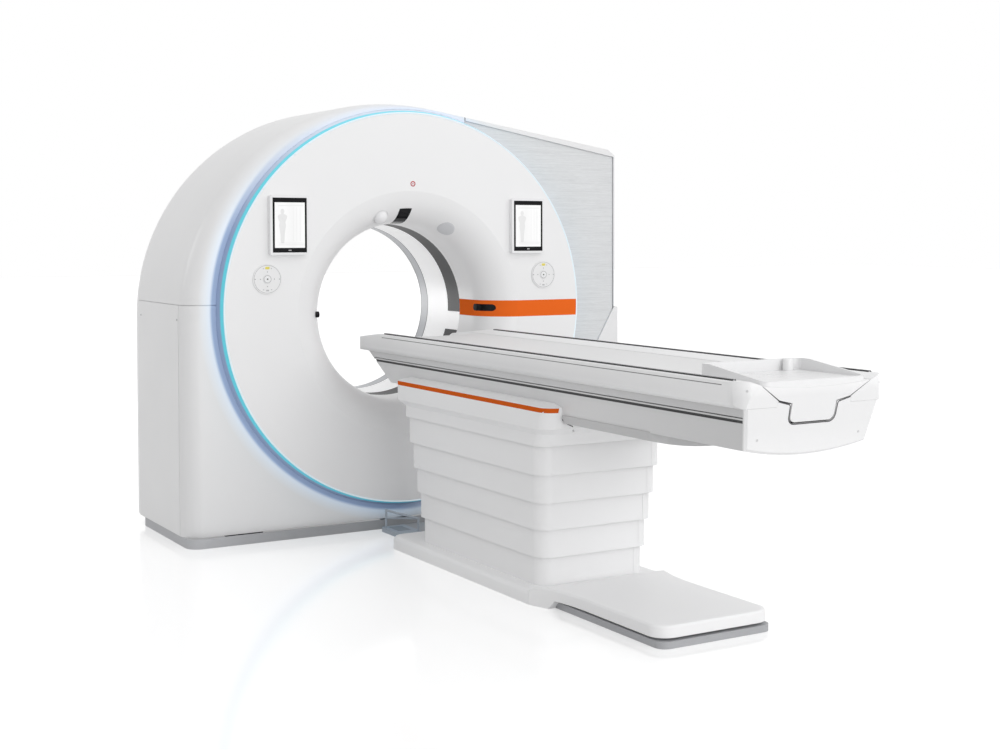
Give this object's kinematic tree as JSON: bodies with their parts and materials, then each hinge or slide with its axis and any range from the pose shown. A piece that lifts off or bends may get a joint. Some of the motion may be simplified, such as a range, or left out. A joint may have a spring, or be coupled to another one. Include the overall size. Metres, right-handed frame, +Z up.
{
  "type": "computed tomography scanner",
  "caption": "Computed tomography scanner: a ring-shaped gantry with a turning X-ray rotor, and a patient table that lifts on stepped shrouds and slides its top through the bore.",
  "frame": {"origin": "on the floor, under the axis of the bore, in the plane of the scan", "axes": "+Z up; +Y along the bore, from the table to the back of the gantry; +X to the right of someone who faces the gantry from the table"},
  "size_m": [2.235, 3.6351, 1.958],
  "materials": {
    "cover_white": "smooth satin white",
    "shell_white": "smooth satin white with a fine grain",
    "plinth_grey": "matt mid grey",
    "woven_panel": "fine woven light grey",
    "band_orange": "smooth orange film",
    "dark_window": "smooth black",
    "dome_white": "smooth white dome",
    "window_ring": "smooth dark film",
    "tunnel_white": "smooth white",
    "ring_light": "lit translucent blue",
    "tablet_white": "smooth white case",
    "screen_glass": "dark display glass",
    "pad_white": "smooth white pad",
    "button_white": "white key cap",
    "frame_steel": "grey painted steel",
    "stator_paint": "machined cast aluminium",
    "winding": "enamelled copper windings",
    "bearing_steel": "ground bearing steel",
    "rotor_aluminium": "machined aluminium",
    "tube_housing": "painted tube housing",
    "detector_case": "dark anodised housing",
    "generator_case": "folded metal case",
    "cooling_fins": "finned aluminium",
    "slip_ring_brass": "polished brass tracks",
    "brush_plastic": "black brush holder",
    "base_white": "smooth white",
    "step_white": "smooth white step",
    "column_steel": "grey painted steel",
    "table_white": "smooth satin white",
    "under_white": "satin white",
    "rail_metal": "satin grey metal rail",
    "shroud_white": "satin white shroud",
    "motor_case": "dark motor case",
    "pulley_metal": "turned aluminium",
    "belt_rubber": "black drive belt",
    "cradle_top": "smooth light composite",
    "tray_white": "smooth white tray",
    "guard_paint": "blue grey painted metal",
    "pedal_grey": "ribbed grey rubber"
  },
  "bodies": {
    "base": {"gantry_plinth": "plinth_grey", "gantry_base_frame": "frame_steel", "stator_frame": "stator_paint", "drive_coils": "winding", "bearing_outer_race": "bearing_steel", "brush_block": "brush_plastic", "front_cover": "cover_white", "orange_band": "band_orange", "bore_windows": "dark_window", "laser_dome": "dome_white", "scan_window_ring": "window_ring", "bore_tunnel": "tunnel_white", "light_ring": "ring_light", "upper_cover": "shell_white", "left_side_door": "shell_white", "front_corner_cover": "shell_white", "right_upper_cover": "shell_white", "right_lower_cover": "shell_white", "fabric_panel": "woven_panel", "rear_cover": "shell_white", "tablet_cases": "tablet_white", "tablet_screens": "screen_glass", "control_pads": "pad_white", "table_base_plate": "frame_steel", "table_base_cover": "base_white", "foot_step": "step_white", "shroud_tier_5": "shroud_white", "pedal_guard": "guard_paint"},
    "rotor": {"bearing_inner_race": "bearing_steel", "rotor_drum": "rotor_aluminium", "xray_tube": "tube_housing", "detector_arc": "detector_case", "voltage_generator": "generator_case", "cooling_unit": "cooling_fins", "slip_ring": "slip_ring_brass"},
    "roller_cage": {"bearing_roller_cage": "bearing_steel"},
    "carriage": {"carriage_frame": "column_steel", "carriage_body": "table_white", "end_panel": "table_white", "underside_cover": "under_white", "wing_covers": "table_white", "side_rails": "rail_metal", "collar": "shroud_white", "orange_stripe": "band_orange", "slide_motor": "motor_case", "slide_belt": "belt_rubber"},
    "drive_pulley": {"slide_drive_pulley": "pulley_metal"},
    "idler_pulley": {"slide_idler_pulley": "pulley_metal"},
    "tabletop": {"cradle": "cradle_top", "cradle_handle": "table_white", "cradle_sled": "rotor_aluminium", "foot_tray": "tray_white"},
    "column_stage": {"column_middle_tubes": "column_steel"},
    "shroud_1": {"shroud_tier_1": "shroud_white"},
    "shroud_2": {"shroud_tier_2": "shroud_white"},
    "shroud_3": {"shroud_tier_3": "shroud_white"},
    "shroud_4": {"shroud_tier_4": "shroud_white"},
    "left_button": {"pad_button_left": "button_white"},
    "right_button": {"pad_button_right": "button_white"},
    "pedal": {"foot_pedal": "pedal_grey"}
  },
  "joints": [
    {"name": "rotor_spin", "type": "hinge", "parent": "base", "child": "rotor", "pos_m": [0, 0.17, 0.995], "axis": [0, 1, 0], "continuous": true},
    {"name": "roller_cage_spin", "type": "hinge", "parent": "base", "child": "roller_cage", "pos_m": [0, 0.17, 0.995], "axis": [0, 1, 0], "continuous": true},
    {"name": "table_lift", "type": "slide", "parent": "base", "child": "carriage", "axis": [0, 0, 1], "range_m": [-0.43, 0]},
    {"name": "column_stage_lift", "type": "slide", "parent": "base", "child": "column_stage", "axis": [0, 0, 1], "range_m": [-0.215, 0]},
    {"name": "table_slide", "type": "slide", "parent": "carriage", "child": "tabletop", "axis": [0, 1, 0], "range_m": [0, 1.9]},
    {"name": "drive_pulley_spin", "type": "hinge", "parent": "carriage", "child": "drive_pulley", "pos_m": [0.112, -0.85, 0.802], "axis": [1, 0, 0], "range_deg": [-5115, 5]},
    {"name": "idler_pulley_spin", "type": "hinge", "parent": "carriage", "child": "idler_pulley", "pos_m": [0.112, -3.092, 0.802], "axis": [1, 0, 0], "range_deg": [-5115, 5]},
    {"name": "left_button_press", "type": "slide", "parent": "base", "child": "left_button", "axis": [0, 1, 0], "range_m": [0, 0.0015], "stiffness_N_per_m": 800, "springref_m": -0.001},
    {"name": "right_button_press", "type": "slide", "parent": "base", "child": "right_button", "axis": [0, 1, 0], "range_m": [0, 0.0015], "stiffness_N_per_m": 800, "springref_m": -0.001},
    {"name": "pedal_press", "type": "hinge", "parent": "base", "child": "pedal", "pos_m": [-0.1183, -0.459, 0.0125], "axis": [1, 0, 0], "range_deg": [0, 2.5], "stiffness_Nm_per_rad": 30, "springref_deg": -1.72},
    {"name": "shroud_1_lift", "type": "slide", "parent": "base", "child": "shroud_1", "axis": [0, 0, 1], "range_m": [-0.3612, 0]},
    {"name": "shroud_2_lift", "type": "slide", "parent": "base", "child": "shroud_2", "axis": [0, 0, 1], "range_m": [-0.2709, 0]},
    {"name": "shroud_3_lift", "type": "slide", "parent": "base", "child": "shroud_3", "axis": [0, 0, 1], "range_m": [-0.1806, 0]},
    {"name": "shroud_4_lift", "type": "slide", "parent": "base", "child": "shroud_4", "axis": [0, 0, 1], "range_m": [-0.0903, 0]}
  ],
  "couplings": [
    {"joint": "roller_cage_spin", "follows": "rotor_spin", "ratio": 0.49407},
    {"joint": "column_stage_lift", "follows": "table_lift", "ratio": 0.5},
    {"joint": "drive_pulley_spin", "follows": "table_slide", "rad_per_m": -46.948},
    {"joint": "idler_pulley_spin", "follows": "table_slide", "rad_per_m": -46.948},
    {"joint": "shroud_1_lift", "follows": "table_lift", "ratio": 0.84},
    {"joint": "shroud_2_lift", "follows": "table_lift", "ratio": 0.63},
    {"joint": "shroud_3_lift", "follows": "table_lift", "ratio": 0.42},
    {"joint": "shroud_4_lift", "follows": "table_lift", "ratio": 0.21}
  ]
}
